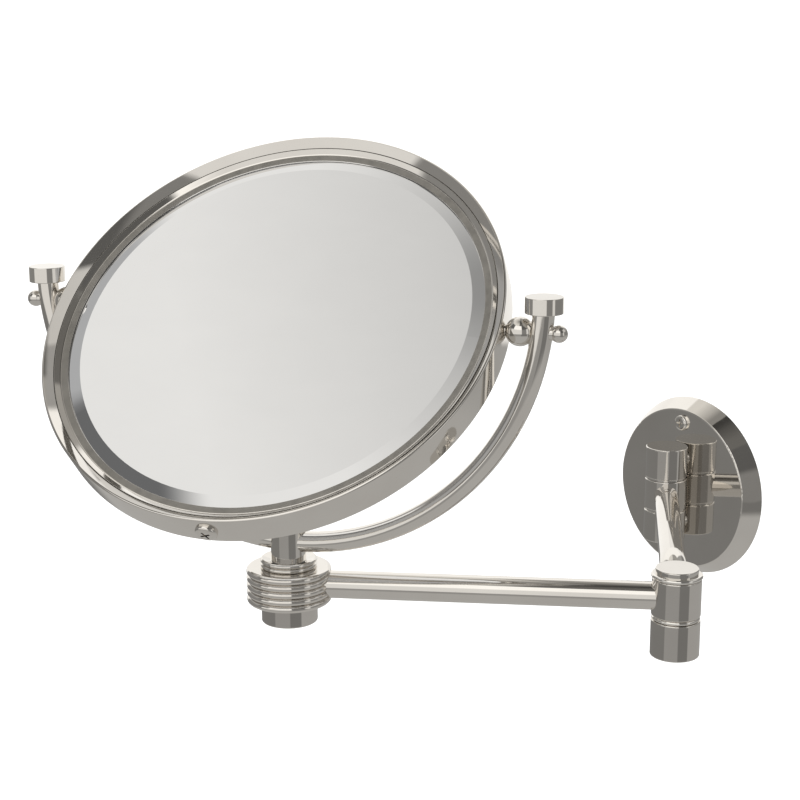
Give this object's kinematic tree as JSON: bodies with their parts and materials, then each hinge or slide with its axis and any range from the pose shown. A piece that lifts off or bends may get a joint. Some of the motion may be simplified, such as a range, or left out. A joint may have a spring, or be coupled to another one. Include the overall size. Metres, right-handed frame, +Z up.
{
  "type": "extendable shaving mirror",
  "caption": "Wall-mounted round shaving mirror on a hinged double arm, carried in a half-circle yoke that swivels and lets the mirror tilt.",
  "frame": {"origin": "centre of the wall bracket's back face, on the wall", "axes": "+Z up, +Y into the wall, the mirror reaches out along -Y"},
  "size_m": [0.2458, 0.3549, 0.2445],
  "materials": {
    "polished_nickel": "polished nickel plate on brass, faint wiping marks",
    "washer_nickel": "bright polished nickel plate",
    "screw_nickel": "polished nickel plate, slightly worn at the recess",
    "zinc_steel": "zinc-plated pressed steel",
    "pin_steel": "ground steel",
    "bearing_brass": "turned brass",
    "looking_glass": "silvered flat glass with a ground bevel",
    "enlarging_glass": "silvered glass, slightly hollow face",
    "board_plastic": "black moulded board"
  },
  "bodies": {
    "wall_mount": {"wall_bracket": "zinc_steel", "wall_plate": "polished_nickel", "plate_screw": "screw_nickel", "hub_posts": "polished_nickel", "hub_nuts": "zinc_steel", "hub_top_barrel": "polished_nickel", "hub_bottom_barrel": "polished_nickel", "hub_pin": "pin_steel", "hub_washers": "washer_nickel"},
    "inner_arm": {"hub_middle_barrel": "polished_nickel", "hub_bush": "bearing_brass", "inner_arm_tube": "polished_nickel", "elbow_lower_barrel": "polished_nickel", "elbow_mid_bead": "washer_nickel", "elbow_top_bead": "washer_nickel", "elbow_pin": "pin_steel", "elbow_cap": "polished_nickel"},
    "outer_arm": {"elbow_upper_barrel": "polished_nickel", "elbow_bush": "bearing_brass", "outer_arm_tube": "polished_nickel", "ringed_collar": "polished_nickel", "collar_bush": "bearing_brass", "collar_neck": "polished_nickel"},
    "yoke": {"yoke_stem": "polished_nickel", "collar_cap": "polished_nickel", "yoke_tube": "polished_nickel", "yoke_end_caps": "polished_nickel", "pivot_screws": "screw_nickel", "ball_spacers": "polished_nickel"},
    "mirror_head": {"mirror_band": "polished_nickel", "front_bezel": "polished_nickel", "rear_bezel": "polished_nickel", "front_glass": "looking_glass", "rear_glass": "enlarging_glass", "backing_board": "board_plastic", "frame_screw": "screw_nickel", "pivot_bushes": "bearing_brass"}
  },
  "joints": [
    {"name": "hub_swing", "type": "hinge", "parent": "wall_mount", "child": "inner_arm", "pos_m": [0, -0.02125, 0], "axis": [0, 0, 1], "range_deg": [-125, 35]},
    {"name": "elbow_swing", "type": "hinge", "parent": "inner_arm", "child": "outer_arm", "pos_m": [0.11434, -0.13559, 0], "axis": [0, 0, 1], "range_deg": [-30, 210]},
    {"name": "yoke_swivel", "type": "hinge", "parent": "outer_arm", "child": "yoke", "pos_m": [-0.00955, -0.25947, 0], "axis": [0, 0, 1], "continuous": true},
    {"name": "mirror_tilt", "type": "hinge", "parent": "yoke", "child": "mirror_head", "pos_m": [-0.00955, -0.25947, 0.1242], "axis": [0.8526, 0.5225, 0], "range_deg": [-118, 25]}
  ]
}
